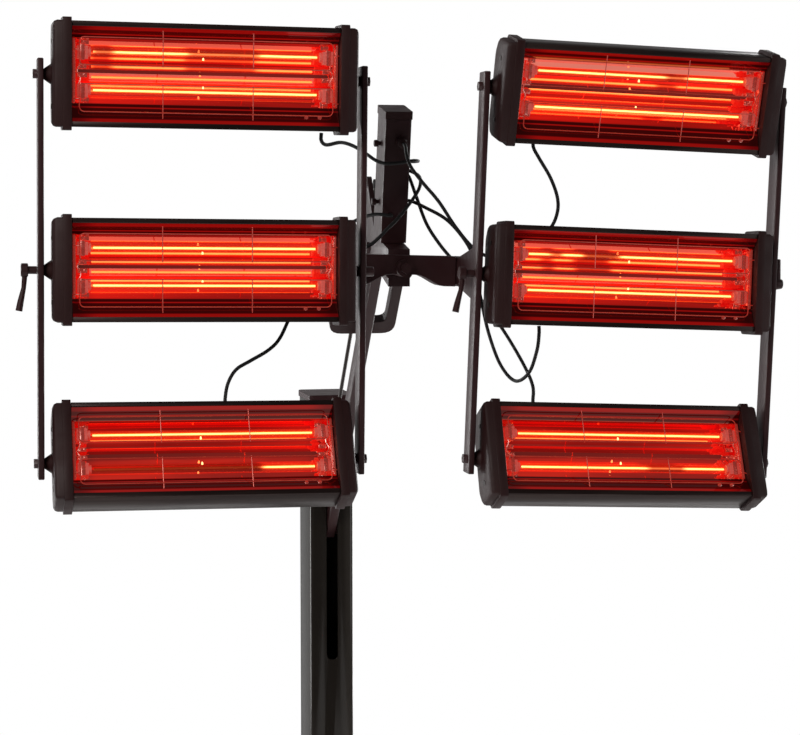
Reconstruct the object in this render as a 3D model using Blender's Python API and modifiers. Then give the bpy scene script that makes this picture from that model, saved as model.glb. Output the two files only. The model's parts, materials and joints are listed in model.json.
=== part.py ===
"""Infrared heater: six lamp cassettes in two banks, on a lift arm and a castor stand.

Units are metres, +Z is up, -Y is the side that the lamps shine to, and +X is the right-hand side seen
from there. Each body that moves hangs from an empty that sits on its joint's axis, so turning the empty
shows the motion: stand > lift arm > head > cross arm > bank > cassette.
"""

from math import cos, pi, radians, sin

import bmesh
import bpy
from mathutils import Matrix, Vector

GAP = 0.0003  # clearance between neighbouring pieces

# Where the stand's middle plane lies, so that the whole object is centred on the origin.
MIDDLE_X = 0.0065

# Stand
COLUMN_Y = 0.250
COLUMN_SIZE = (0.070, 0.110)
COLUMN_WALL = 0.004
FOOT_PLATE = (0.110, 0.150, 0.006)
COLUMN_TOP_Z = 1.2915
COLUMN_CAP = (0.074, 0.114, 0.010)
INLET_Z = 0.240
SLOT_WIDTH = 0.018
SLOT_Z = (0.871, 1.283)
LEG_X = 0.300
LEG_SECTION = 0.050
LEG_LENGTH = 0.940
LEG_Z = 0.125
BEAM_SECTION = (0.090, 0.050)
TUBE_WALL = 0.003
CASTOR_Y = (-0.425, 0.4484)
CASTOR_RADIUS = 0.0375
CASTOR_TRAIL = 0.026
CASTOR_WHEEL_WIDTH = 0.024
CASTOR_STEM = 0.0055

# Lift arm and its levelling rod, which make a parallelogram with the column and the head
ARM_PIVOT = Vector((MIDDLE_X, 0.220, 1.082))
ARM_LENGTH = 0.614
ARM_ANGLE = radians(49)  # above the horizontal, at rest
ARM_SECTION = (0.015, 0.030)
ROD_OFFSET = Vector((0, 0.020, 0.090))  # rod pivot from arm pivot, on the column and on the head
ROD_RADIUS = 0.003
HANDLE_SPAN = (0.020, 0.186)  # along the arm, from the head's pivot
HANDLE_WIDTH = 0.099
HANDLE_LEG = 0.0155
HANDLE_GRIP = 0.023
HANDLE_THICK = 0.016

# Head
HEAD_PIVOT = ARM_PIVOT + ARM_LENGTH * Vector((0, -cos(ARM_ANGLE), sin(ARM_ANGLE)))
HEAD_WIDTH = 0.030
BOX_SIZE = (0.036, 0.056, 0.170)
BOX_WALL = 0.0025
BOX_LEAN = radians(12)  # towards the lamps
BOX_FOOT = Vector((MIDDLE_X, -0.280, 1.5535))  # front lower edge of the junction box
BOX_CAP_HEIGHT = 0.011

# Cross arm, turned a little on its centre bolt, and the two banks that hang from its ends
CROSS_PIVOT = Vector((MIDDLE_X, -0.331, 1.521))
CROSS_ROLL = radians(1.5)
CROSS_HALF = 0.0722
CROSS_DEPTH = 0.030
CROSS_TOP = 0.0173
CROSS_WAIST = 0.0088
CROSS_DROP = 0.0235
BANK_ROLL = {"left": radians(0.6), "right": radians(2.3)}
BANK_AXIS_Z = -0.003  # from the cross arm's own pivot
BANK_REACH = 0.109  # the bars stand this far in front of the bank's axis
BAR_SECTION = (0.0078, 0.030)
BAR_HALF_HEIGHT = 0.262
BAR_INNER_FACE = 0.200  # from the bank's middle to each bar
LUG_RADIUS = 0.0205
LUG_WIDTH = 0.022
ROW_PITCH = 0.243
ROWS = {"top": 1, "middle": 0, "bottom": -1}
FACING_UP = {  # tilt of each cassette about its pivots, upwards positive
    ("left", "top"): radians(-2),
    ("left", "middle"): radians(2),
    ("left", "bottom"): radians(30),
    ("right", "top"): radians(-13),
    ("right", "middle"): radians(2),
    ("right", "bottom"): radians(28.5),
}

# Cassette, measured from its pivots' axis at mid-length
BODY_HALF = 0.167
BODY_HEIGHT = 0.129
FRONT_Y = -0.043
FLAT_END_Y = 0.004
REAR_Y = 0.017
REAR_HEIGHT = 0.094
SHEET = 0.002
LIP = 0.0055
INSIDE_Z = 0.0045  # the reflector and its lamps sit this much above the middle of the body
WING = Vector((-0.029, 0.0405))  # where each wing meets the reflector
TROUGH = [
    Vector((-0.0010, 0.0330)),
    Vector((0.0008, 0.0255)),
    Vector((0.0008, 0.0215)),
    Vector((-0.0002, 0.0142)),
    Vector((-0.0052, 0.0120)),
]
RIDGE = Vector((-0.0100, 0.0020))
CAP_WIDTH = 0.023
CAP_FLANGE = 0.011
CAP_PROUD = 0.004
LAMP_Z = 0.0235  # from the middle of the reflector
LAMP_Y = -0.022
LAMP_RADIUS = 0.005

LEAD_RADIUS = 0.0024
LEAD_SPACING = 0.012
# Each lead's route from the junction box to its cassette.
LEAD_ROUTES = {
    "top_left": [
        (0.0253, -0.269, 1.666), (0.035, -0.271, 1.665), (0.036, -0.302, 1.665), (0.024, -0.320, 1.665),
        (0.005, -0.325, 1.662), (-0.015, -0.328, 1.661), (-0.031, -0.340, 1.665), (-0.048, -0.355, 1.674),
        (-0.070, -0.380, 1.683), (-0.092, -0.412, 1.686), (-0.115, -0.438, 1.682), (-0.1235, -0.447, 1.687),
        (-0.1235, -0.4480, 1.6969),
    ],
    "middle_left": [
        (-0.0005, -0.2892, 1.593), (-0.0015, -0.299, 1.591), (-0.026, -0.325, 1.593), (-0.048, -0.355, 1.590),
        (-0.073, -0.384, 1.582), (-0.100, -0.400, 1.569), (-0.118, -0.407, 1.558), (-0.124, -0.413, 1.555),
        (-0.124, -0.4209, 1.555),
    ],
    "bottom_left": [
        (0.0253, -0.258, 1.654), (0.035, -0.260, 1.652), (0.042, -0.285, 1.643), (0.034, -0.311, 1.625),
        (0.010, -0.318, 1.594), (-0.008, -0.321, 1.576), (-0.034, -0.333, 1.554), (-0.054, -0.336, 1.547),
        (-0.078, -0.336, 1.546), (-0.096, -0.342, 1.540), (-0.126, -0.366, 1.501), (-0.152, -0.384, 1.464),
        (-0.170, -0.395, 1.432), (-0.186, -0.400, 1.417), (-0.210, -0.405, 1.404), (-0.229, -0.407, 1.393),
        (-0.240, -0.410, 1.376), (-0.2445, -0.414, 1.356), (-0.2445, -0.4183, 1.3414),
    ],
    "top_right": [
        (0.0105, -0.3262, 1.687), (0.0105, -0.337, 1.684), (0.009, -0.352, 1.671), (0.015, -0.354, 1.655),
        (0.032, -0.352, 1.634), (0.054, -0.348, 1.610), (0.078, -0.345, 1.576), (0.102, -0.342, 1.549),
        (0.124, -0.342, 1.536), (0.149, -0.352, 1.534), (0.177, -0.365, 1.547), (0.198, -0.380, 1.571),
        (0.206, -0.390, 1.591), (0.204, -0.402, 1.613), (0.190, -0.417, 1.640), (0.170, -0.431, 1.666),
        (0.1605, -0.436, 1.680), (0.1600, -0.4353, 1.6893),
    ],
    "middle_right": [
        (0.0253, -0.261, 1.611), (0.035, -0.261, 1.611), (0.052, -0.276, 1.602), (0.078, -0.290, 1.586),
        (0.100, -0.294, 1.562), (0.115, -0.292, 1.537), (0.122, -0.292, 1.504), (0.124, -0.310, 1.470),
        (0.127, -0.340, 1.428), (0.135, -0.370, 1.390), (0.147, -0.400, 1.371), (0.158, -0.428, 1.384),
        (0.1635, -0.446, 1.414), (0.1645, -0.4525, 1.436), (0.1645, -0.4521, 1.4473),
    ],
    "bottom_right": [
        (0.0253, -0.249, 1.648), (0.034, -0.249, 1.646), (0.043, -0.258, 1.618), (0.055, -0.270, 1.580),
        (0.072, -0.279, 1.551), (0.092, -0.281, 1.527), (0.112, -0.280, 1.502), (0.131, -0.294, 1.470),
        (0.151, -0.330, 1.432), (0.166, -0.375, 1.390), (0.1705, -0.403, 1.364), (0.1675, -0.4145, 1.345),
        (0.1670, -0.4193, 1.3325),
    ],
}

STEEL_BLACK = ("painted steel", (0.030, 0.022, 0.022), 0.38, 0.0)
COLUMN_GREY = ("column paint", (0.075, 0.065, 0.060), 0.25, 0.3)
PLASTIC_BLACK = ("moulded plastic", (0.022, 0.017, 0.017), 0.45, 0.0)
ALUMINIUM = ("anodised aluminium", (0.110, 0.090, 0.085), 0.30, 0.9)
LAMP_GLOW = ("lit quartz", (1.000, 0.300, 0.060), 0.20, 0.0)
BRIGHT_STEEL = ("bright steel", (0.560, 0.540, 0.520), 0.28, 1.0)
RUBBER = ("rubber", (0.020, 0.020, 0.020), 0.80, 0.0)

ALONG_X = Matrix(((0, 0, 1, 0), (1, 0, 0, 0), (0, 1, 0, 0), (0, 0, 0, 1)))  # outline in YZ, thick in X
ALONG_Y = Matrix(((1, 0, 0, 0), (0, 0, -1, 0), (0, 1, 0, 0), (0, 0, 0, 1)))  # outline in XZ, thick in Y


def clear_scene():
    for obj in list(bpy.data.objects):
        bpy.data.objects.remove(obj)


def new_collection(name):
    made = bpy.data.collections.new(name)
    bpy.context.scene.collection.children.link(made)
    return made


def material(recipe):
    """The Principled BSDF of a (name, colour, roughness, metallic) recipe, made once."""
    name, colour, roughness, metallic = recipe
    found = bpy.data.materials.get(name)
    if found:
        return found
    made = bpy.data.materials.new(name)
    made.use_nodes = True
    shader = made.node_tree.nodes["Principled BSDF"]
    shader.inputs["Base Color"].default_value = (*colour, 1)
    shader.inputs["Roughness"].default_value = roughness
    shader.inputs["Metallic"].default_value = metallic
    return made


def empty(name, location, parent=None, tilt=0.0, roll=0.0):
    """An empty on a joint's axis: tilt turns it about X, and roll about Y."""
    made = bpy.data.objects.new(name, None)
    made.empty_display_size = 0.05
    made.location = location
    made.rotation_euler = (tilt, roll, 0)
    made.parent = parent
    PARTS.objects.link(made)
    return made


def node(name, mesh, recipe, parent=None, location=(0, 0, 0), smooth=True):
    """One named piece of the heater."""
    made = bpy.data.objects.new(name, mesh)
    made.location = location
    made.parent = parent
    if not mesh.materials:
        mesh.materials.append(material(recipe))
    if smooth:
        mesh.shade_smooth()
        mesh.set_sharp_from_angle(angle=radians(35))
    PARTS.objects.link(made)
    return made


def baked(obj):
    """The mesh that an object's modifiers make, welded; the object itself goes."""
    bpy.context.view_layer.update()
    graph = bpy.context.evaluated_depsgraph_get()
    mesh = bpy.data.meshes.new_from_object(obj.evaluated_get(graph))
    bpy.data.objects.remove(obj)
    bm = bmesh.new()
    bm.from_mesh(mesh)
    bmesh.ops.remove_doubles(bm, verts=bm.verts, dist=1e-6)
    bm.to_mesh(mesh)
    bm.free()
    return mesh


def helper(data):
    made = bpy.data.objects.new("helper", data)
    made.hide_render = True
    made.display_type = "WIRE"
    CUTTERS.objects.link(made)
    return made


def combined(first, others, operation):
    """One mesh from a Boolean between the first mesh and each of the others."""
    target = helper(first)
    tools = [helper(other) for other in others]
    for tool in tools:
        boolean = target.modifiers.new("boolean", "BOOLEAN")
        boolean.operation = operation
        boolean.object = tool
    mesh = baked(target)
    for tool in tools:
        bpy.data.objects.remove(tool)
    return mesh


def union(first, *others):
    return combined(first, others, "UNION")


def difference(first, *others):
    return combined(first, others, "DIFFERENCE")


def bevelled(mesh, width, segments=2, angle=radians(40)):
    obj = helper(mesh)
    bevel = obj.modifiers.new("bevel", "BEVEL")
    bevel.width = width
    bevel.segments = segments
    bevel.limit_method = "ANGLE"
    bevel.angle_limit = angle
    return baked(obj)


def mesh_of(bm):
    mesh = bpy.data.meshes.new("shape")
    bm.to_mesh(mesh)
    bm.free()
    return mesh


def block(size, centre=(0, 0, 0)):
    bm = bmesh.new()
    bmesh.ops.create_cube(bm, size=1, matrix=Matrix.Translation(centre) @ Matrix.Diagonal((*size, 1)))
    return mesh_of(bm)


def cylinder(radius, length, centre=(0, 0, 0), axis="Z", end_radius=None, segments=20):
    """A cylinder, or a cone whose end_radius is at its positive end."""
    turn = {"X": Matrix.Rotation(pi / 2, 4, "Y"), "Y": Matrix.Rotation(-pi / 2, 4, "X"), "Z": Matrix()}[axis]
    bm = bmesh.new()
    bmesh.ops.create_cone(
        bm,
        cap_ends=True,
        segments=segments,
        radius1=radius,
        radius2=radius if end_radius is None else end_radius,
        depth=length,
        matrix=Matrix.Translation(centre) @ turn,
    )
    return mesh_of(bm)


def arc(centre, radius, start, end, steps):
    """Points on an arc, in degrees from the outline's first axis."""
    turns = [radians(start + (end - start) * i / steps) for i in range(steps + 1)]
    return [Vector((centre[0] + radius * cos(t), centre[1] + radius * sin(t))) for t in turns]


def rounded(outline, radius, steps=3):
    """The outline with each corner replaced by a short curve that starts and ends `radius` from it."""
    points = []
    for i, corner in enumerate(outline):
        before = (outline[i - 1] - corner).normalized() * radius
        after = (outline[(i + 1) % len(outline)] - corner).normalized() * radius
        for step in range(steps + 1):
            t = step / steps
            points.append(corner + before * (1 - t) ** 2 + after * t**2)
    return points


def rectangle(width, height, centre=(0, 0)):
    x, y = width / 2, height / 2
    return [Vector((centre[0] + a * x, centre[1] + b * y)) for a, b in ((-1, -1), (1, -1), (1, 1), (-1, 1))]


def shifted(line, distance):
    """An open line moved sideways by `distance`, to its left as it runs."""
    points = []
    for i, point in enumerate(line):
        sides = []
        for a, b in ((i - 1, i), (i, i + 1)):
            if 0 <= a and b < len(line):
                run = (line[b] - line[a]).normalized()
                sides.append(Vector((-run.y, run.x)))
        middle = sum(sides, Vector((0, 0))).normalized()
        points.append(point + middle * distance / middle.dot(sides[0]))
    return points


def plate(outlines, thickness, matrix=None):
    """A flat plate from closed outlines, the later ones being holes. It is centred on its thickness."""
    curve = bpy.data.curves.new("outline", "CURVE")
    curve.dimensions = "2D"
    curve.fill_mode = "BOTH"
    curve.extrude = thickness / 2
    for outline in outlines:
        spline = curve.splines.new("POLY")
        spline.points.add(len(outline) - 1)
        for point, at in zip(spline.points, outline):
            point.co = (at[0], at[1], 0, 1)
        spline.use_cyclic_u = True
    mesh = baked(helper(curve))
    if matrix:
        mesh.transform(matrix)
    return mesh


def loft(sections):
    """A closed solid through sections of equal point count, from the first to the last."""
    bm = bmesh.new()
    rings = [[bm.verts.new(point) for point in section] for section in sections]
    for ring, following in zip(rings, rings[1:]):
        for i in range(len(ring)):
            j = (i + 1) % len(ring)
            bm.faces.new((ring[i], ring[j], following[j], following[i]))
    bm.faces.new(list(reversed(rings[0])))
    bm.faces.new(rings[-1])
    bmesh.ops.recalc_face_normals(bm, faces=bm.faces)
    return mesh_of(bm)


def smooth_route(route, spacing):
    """Points every `spacing` along a smooth curve through the route's own points."""
    ends = [2 * route[0] - route[1], *route, 2 * route[-1] - route[-2]]
    fine = []
    for a, b, c, d in zip(ends, ends[1:], ends[2:], ends[3:]):
        for step in range(24):
            t = step / 24
            bend = (2 * a - 5 * b + 4 * c - d) * t**2 + (3 * b - a - 3 * c + d) * t**3
            fine.append(0.5 * (2 * b + (c - a) * t + bend))
    fine.append(route[-1])
    length = sum((q - p).length for p, q in zip(fine, fine[1:]))
    count = max(2, round(length / spacing))
    points, walked, wanted = [fine[0]], 0.0, length / count
    for p, q in zip(fine, fine[1:]):
        run = (q - p).length
        while run and walked + run >= wanted * len(points) and len(points) < count:
            points.append(p.lerp(q, (wanted * len(points) - walked) / run))
        walked += run
    return points + [fine[-1]]


def tube_curve(name, points, radius, recipe, resolution=2, radii=None):
    curve = bpy.data.curves.new(name, "CURVE")
    curve.dimensions = "3D"
    curve.bevel_depth = radius
    curve.bevel_resolution = resolution
    curve.use_fill_caps = True
    spline = curve.splines.new("POLY")
    spline.points.add(len(points) - 1)
    for i, (point, at) in enumerate(zip(spline.points, points)):
        point.co = (*at, 1)
        point.radius = radii[i] if radii else 1
    curve.materials.append(material(recipe))
    return curve


# ---------------------------------------------------------------- stand


def castor(corner, x, y):
    """A swivel castor: the fork hangs from its stem's axis, and the wheel from the axle behind it."""
    half_inside = CASTOR_WHEEL_WIDTH / 2 + 0.0015
    cheek = 0.003
    top = LEG_Z - LEG_SECTION / 2 - GAP
    axle_z = CASTOR_RADIUS - top
    swivel = empty(f"castor_swivel_{corner}", (x, y, top))
    side = [
        Vector((-0.020, 0)),
        Vector((0.022, 0)),
        *arc((CASTOR_TRAIL, axle_z), 0.010, 20, -160, 6),
    ]
    cheeks = plate([side], 2 * (half_inside + cheek), ALONG_X)
    inside = block((2 * half_inside, 0.12, top), (0, 0, -top / 2 - 0.005))
    collar = cylinder(0.022, 0.008, (0, 0, -0.004), segments=24)
    stem = cylinder(CASTOR_STEM, 0.030, (0, 0, 0.009), segments=16)
    fork = union(difference(cheeks, inside), collar, stem)
    node(f"castor_fork_{corner}", fork, BRIGHT_STEEL, swivel)
    axle = empty(f"castor_axle_{corner}", (0, CASTOR_TRAIL, axle_z), swivel)
    tread = bevelled(cylinder(CASTOR_RADIUS, CASTOR_WHEEL_WIDTH, axis="X", segments=32), 0.004)
    hub = cylinder(0.008, 2 * (half_inside - GAP), axis="X", segments=16)
    node(f"castor_wheel_{corner}", union(tread, hub), RUBBER, axle)


def leg_mesh():
    """A closed square tube with a hole in its underside for each castor's stem."""
    hollow = LEG_SECTION - 2 * TUBE_WALL
    holes = [
        cylinder(CASTOR_STEM + GAP, 2 * TUBE_WALL, (0, y - sum(CASTOR_Y) / 2, -LEG_SECTION / 2), segments=16)
        for y in CASTOR_Y
    ]
    outside = bevelled(block((LEG_SECTION, LEG_LENGTH, LEG_SECTION)), 0.004)
    return difference(outside, block((hollow, LEG_LENGTH - 2 * TUBE_WALL, hollow)), *holes)


def stand():
    for side, sign in (("left", -1), ("right", 1)):
        middle_y = sum(CASTOR_Y) / 2
        node(f"base_leg_{side}", leg_mesh(), STEEL_BLACK, None, (MIDDLE_X + sign * LEG_X, middle_y, LEG_Z))
        for end, y in zip(("front", "rear"), CASTOR_Y):
            castor(f"{end}_{side}", MIDDLE_X + sign * LEG_X, y)
    beam_length = 2 * (LEG_X - LEG_SECTION / 2 - GAP)
    bore = [size - 2 * TUBE_WALL for size in BEAM_SECTION]
    walls = [rounded(rectangle(*BEAM_SECTION), 0.004), rounded(rectangle(*bore), 0.002)]
    beam = plate(walls, beam_length, ALONG_X)
    foot = block(FOOT_PLATE, (0, 0, BEAM_SECTION[1] / 2 + FOOT_PLATE[2] / 4))
    node("base_beam", union(beam, foot), STEEL_BLACK, None, (MIDDLE_X, COLUMN_Y, LEG_Z))

    foot_z = LEG_Z + (BEAM_SECTION[1] + 1.5 * FOOT_PLATE[2]) / 2 + GAP
    height = COLUMN_TOP_Z - foot_z
    inner = (COLUMN_SIZE[0] - 2 * COLUMN_WALL, COLUMN_SIZE[1] - 2 * COLUMN_WALL)
    walls = [rounded(rectangle(*COLUMN_SIZE), 0.007), rounded(rectangle(*inner), 0.004)]
    tube = plate(walls, height)
    slot_length = SLOT_Z[1] - SLOT_Z[0]
    slot = plate([rounded(rectangle(SLOT_WIDTH, slot_length), SLOT_WIDTH / 2 - GAP, 5)], 0.02, ALONG_Y)
    slot.transform(Matrix.Translation((0, -COLUMN_SIZE[1] / 2, sum(SLOT_Z) / 2 - foot_z - height / 2)))
    node("column", difference(tube, slot), COLUMN_GREY, None, (MIDDLE_X, COLUMN_Y, foot_z + height / 2))

    cap = bevelled(plate([rounded(rectangle(*COLUMN_CAP[:2]), 0.009)], COLUMN_CAP[2]), 0.0015, 1)
    cap_z = COLUMN_TOP_Z + GAP + COLUMN_CAP[2] / 2
    node("column_cap", cap, STEEL_BLACK, None, (MIDDLE_X, COLUMN_Y, cap_z))

    inlet = union(
        block((0.034, 0.012, 0.034)),
        cylinder(0.011, 0.022, (0, 0.012, 0), "Y"),
    )
    inlet_y = COLUMN_Y + COLUMN_SIZE[1] / 2 + GAP + 0.006
    node("power_inlet", inlet, PLASTIC_BLACK, None, (MIDDLE_X, inlet_y, INLET_Z))


# ---------------------------------------------------------------- lift arm


def lift_arm():
    """The arm, its handle and the rod, each made along -Y and then tilted by its empty."""
    inside = COLUMN_SIZE[0] / 2 - COLUMN_WALL - GAP
    half = ARM_SECTION[1] / 2
    swing = empty("arm_swing", ARM_PIVOT, None, -ARM_ANGLE)
    outline = arc((0, 0), half, -90, 90, 8) + arc((-ARM_LENGTH, 0), half, 90, 270, 8)
    bar = plate([outline], ARM_SECTION[0], ALONG_X)
    pin = cylinder(0.009, 2 * inside, axis="X")
    node("lift_arm", union(bevelled(bar, 0.0015, 1), pin), STEEL_BLACK, swing)

    near, far = HANDLE_SPAN
    length = far - near
    window = length - 2 * HANDLE_GRIP
    ring = plate(
        [
            rounded(rectangle(HANDLE_WIDTH, length), 0.020, 5),
            rounded(rectangle(HANDLE_WIDTH - 2 * HANDLE_LEG, window), 0.012, 4),
        ],
        HANDLE_THICK,
    )
    handle_y = -ARM_LENGTH + (near + far) / 2
    handle_z = half + GAP + HANDLE_THICK / 2
    node("lift_handle", bevelled(ring, 0.004), PLASTIC_BLACK, swing, (0, handle_y, handle_z))

    rod_swing = empty("rod_swing", ARM_PIVOT + ROD_OFFSET, None, -ARM_ANGLE)
    rod = union(
        cylinder(0.007, 0.008, axis="X"),
        cylinder(ROD_RADIUS, ARM_LENGTH, (0, -ARM_LENGTH / 2, 0), "Y", segments=12),
        cylinder(0.007, 0.008, (0, -ARM_LENGTH, 0), "X"),
        cylinder(0.004, 2 * inside, axis="X", segments=12),
    )
    node("level_rod", rod, BRIGHT_STEEL, rod_swing)
    return swing


# ---------------------------------------------------------------- head


def head_bracket():
    """A block behind the cross arm that carries the junction box and ends in ears for the arm and the rod."""
    front = CROSS_PIVOT.y + CROSS_DEPTH / 2 + GAP - HEAD_PIVOT.y
    foot = (BOX_FOOT - HEAD_PIVOT).yz
    under_box = (BOX_SIZE[1] + 0.0025) * Vector((cos(BOX_LEAN), sin(BOX_LEAN)))
    seat = Vector((sin(BOX_LEAN), -cos(BOX_LEAN))) * GAP * 2
    rod = ROD_OFFSET.yz
    outline = [
        Vector((front, CROSS_PIVOT.z - HEAD_PIVOT.z - 0.026)),
        Vector((front, foot.y - 0.008)),
        foot + seat,
        foot + under_box + seat,
        *arc(rod, 0.011, 165, -15, 6),
        *arc((0, 0), 0.018, 30, -120, 6),
    ]
    body = plate([outline], HEAD_WIDTH, ALONG_X)
    mouth = block((ARM_SECTION[0] + 0.0008, 0.10, 0.30), (0, 0.05 - 0.024, 0.05))
    heads = [
        cylinder(radius, 0.005, (sign * (HEAD_WIDTH / 2 + 0.002), *at), "X", segments=sides)
        for sign in (-1, 1)
        for radius, at, sides in ((0.009, (0, 0), 6), (0.006, tuple(rod), 16))
    ]
    disc = cylinder(0.021, 0.010, (0, front + 0.005, CROSS_PIVOT.z - HEAD_PIVOT.z), "Y", segments=32)
    return union(difference(body, mouth), *heads, disc)


def junction_box(head):
    lean = empty("junction_box_lean", BOX_FOOT - HEAD_PIVOT, head, BOX_LEAN)
    width, depth, height = BOX_SIZE
    outer = plate([rounded(rectangle(width, depth), 0.003)], height)
    cavity = block((width - 2 * BOX_WALL, depth - 2 * BOX_WALL, height), (0, 0, BOX_WALL))
    node("junction_box", difference(outer, cavity), STEEL_BLACK, lean, (0, depth / 2, height / 2))
    lid_outline = rounded(rectangle(width + 0.002, depth + 0.002), 0.003)
    lid = bevelled(plate([lid_outline], BOX_CAP_HEIGHT), 0.0012, 1)
    lid_z = height + GAP + BOX_CAP_HEIGHT / 2
    node("junction_box_cap", lid, PLASTIC_BLACK, lean, (0, depth / 2, lid_z))
    gland = union(
        cylinder(0.0085, 0.005, (0, -0.0025 - GAP, 0), "Y", segments=6),
        cylinder(0.0060, 0.014, (0, -0.0070 - GAP, 0), "Y", end_radius=0.0070),
    )
    node("cable_gland", gland, PLASTIC_BLACK, lean, (0.004, 0, height - 0.030))
    for name, z in (("upper", 0.133), ("lower", 0.052)):
        turn = empty(f"box_knob_turn_{name}", (-width / 2 - GAP, depth / 2, z), lean)
        knob = union(
            cylinder(0.0028, 0.004, (-0.002, 0, 0), "X", segments=12),
            bevelled(cylinder(0.0048, 0.006, (-0.006, 0, 0), "X", segments=12), 0.0008, 1),
        )
        node(f"box_knob_{name}", knob, PLASTIC_BLACK, turn)


def head(swing):
    level = empty("head_level", (0, -ARM_LENGTH, 0), swing, ARM_ANGLE)
    node("head_bracket", head_bracket(), STEEL_BLACK, level)
    junction_box(level)
    return level


# ---------------------------------------------------------------- cross arm and banks


def cross_arm_mesh():
    """Flat on top, with a waist at the centre bolt and deep ends that carry the banks."""
    right = []
    for t in [i / 6 for i in range(7)]:
        depth = CROSS_WAIST + (CROSS_DROP - CROSS_WAIST) * (3 * t**2 - 2 * t**3)
        right.append(Vector((0.018 + 0.038 * t, -depth)))
    right += [Vector((CROSS_HALF, -CROSS_DROP)), Vector((CROSS_HALF, CROSS_TOP))]
    outline = [Vector((-p.x, p.y)) for p in reversed(right)] + right
    beam = bevelled(plate([outline], CROSS_DEPTH, ALONG_Y), 0.002, 1, radians(60))
    boss = cylinder(0.0118, CROSS_DEPTH + 0.012, (0, -0.006, 0), "Y", segments=28)
    bolt = cylinder(0.0075, 0.008, (0, -CROSS_DEPTH / 2 - 0.015, 0), "Y", segments=6)
    return union(beam, boss, bolt)


def bar_mesh(sign, inner, lever):
    """One upright bar of a bank with its bolt heads and, if inner, the bank's lug. Outward is sign * X."""
    centre_x = sign * (BAR_INNER_FACE + BAR_SECTION[0] / 2)
    outer_x = sign * (BAR_INNER_FACE + BAR_SECTION[0])
    bar = bevelled(block((*BAR_SECTION, 2 * BAR_HALF_HEIGHT), (centre_x, 0, 0)), 0.001, 1)
    extras = [
        cylinder(0.0065, 0.006, (outer_x + sign * 0.002, 0, row * ROW_PITCH), "X", segments=6)
        for row in (-1, 1)
    ]
    if not lever:
        extras.append(cylinder(0.0065, 0.013, (outer_x + sign * 0.0055, 0, 0), "X", segments=16))
    if inner:
        end = arc((BANK_REACH, 0), LUG_RADIUS - 0.004, -60, 60, 6)
        outline = [Vector((0.010, -0.034)), *end, Vector((0.010, 0.034))]
        web = plate([outline], BAR_SECTION[0] - 0.0008, ALONG_X)
        web.transform(Matrix.Translation((centre_x, 0, 0)))
        lug_x = outer_x - sign * LUG_WIDTH / 2
        extras += [web, cylinder(LUG_RADIUS, LUG_WIDTH, (lug_x, BANK_REACH, 0), "X", segments=28)]
    return union(bar, *extras)


def lever_mesh():
    """A clamp lever about X whose hub stands off the bar towards -X and whose arm hangs down."""
    points = [
        Vector((-0.0150, 0, -0.004)),
        Vector((-0.0165, 0, -0.022)),
        Vector((-0.0205, 0, -0.040)),
        Vector((-0.0225, 0, -0.051)),
    ]
    curve = tube_curve("lever", points, 0.0036, PLASTIC_BLACK, 3, [1.0, 0.85, 1.15, 1.25])
    handle = baked(helper(curve))
    return union(
        cylinder(0.0050, 0.012, (-0.006 - GAP, 0, 0), "X", segments=14),
        bevelled(cylinder(0.0085, 0.009, (-0.0155, 0, 0), "X"), 0.001, 1),
        handle,
    )


def bank(side, cross):
    """One bank: two upright bars and a clamp lever, all turning about the inner bar's lug."""
    sign = -1 if side == "left" else 1
    reach = BAR_INNER_FACE + BAR_SECTION[0]
    axis = Vector((sign * (CROSS_HALF + 3 * GAP), 0, BANK_AXIS_Z))
    tilt = empty(f"{side}_bank_tilt", axis, cross, 0, BANK_ROLL[side] - CROSS_ROLL)
    middle = Vector((sign * reach, -BANK_REACH, 0))
    for way, place in ((-1, "left"), (1, "right")):
        inner = way != sign
        where = "inner" if inner else "outer"
        node(f"{side}_bank_{where}_bar", bar_mesh(way, inner, way < 0), STEEL_BLACK, tilt, middle)
        if way < 0:
            turn = empty(f"{side}_lever_turn", middle - Vector((reach + GAP, 0, 0)), tilt)
            node(f"{side}_clamp_lever", lever_mesh(), PLASTIC_BLACK, turn)
    return tilt, middle


# ---------------------------------------------------------------- cassettes


def mirrored(line):
    """The line carried on by its own mirror image across z = 0, back to where it began."""
    return line + [Vector((p.x, -p.y)) for p in reversed(line)]


def housing_mesh():
    """An extrusion with lips and wings in front, the faceted reflector, and an open duct behind it."""
    lip = Vector((FRONT_Y, BODY_HEIGHT / 2 - LIP))
    reflector = [point + Vector((0, INSIDE_Z)) for point in mirrored([WING, *TROUGH, RIDGE])]
    front = [lip, *reflector, Vector((lip.x, -lip.y))]
    back = mirrored(
        [
            Vector((FRONT_Y, -BODY_HEIGHT / 2)),
            Vector((FLAT_END_Y, -BODY_HEIGHT / 2)),
            Vector((REAR_Y, -REAR_HEIGHT / 2)),
        ]
    )
    inside = shifted(back[1:-1], SHEET)
    first = Vector((WING.x, -BODY_HEIGHT / 2 + SHEET))
    duct = [first, *inside, Vector((first.x, -first.y)), *shifted(reflector, SHEET)]
    return plate([front + back, duct], 2 * BODY_HALF, ALONG_X)


def cap_section(x, proud, inset):
    half = BODY_HEIGHT / 2 + 0.0005 + proud - inset
    rear = REAR_HEIGHT / 2 + 0.0005 + 0.5 * proud - inset * 0.6
    front_y, rear_y = FRONT_Y - 0.001 - 0.2 * proud + inset, REAR_Y + 0.001 + 0.2 * proud - inset
    outline = [
        Vector((front_y, -half)),
        Vector((FLAT_END_Y, -half)),
        Vector((rear_y, -rear)),
        Vector((rear_y, rear)),
        Vector((FLAT_END_Y, half)),
        Vector((front_y, half)),
    ]
    return [Vector((x, p.x, p.y)) for p in rounded(outline, 0.004, 2)]


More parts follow.
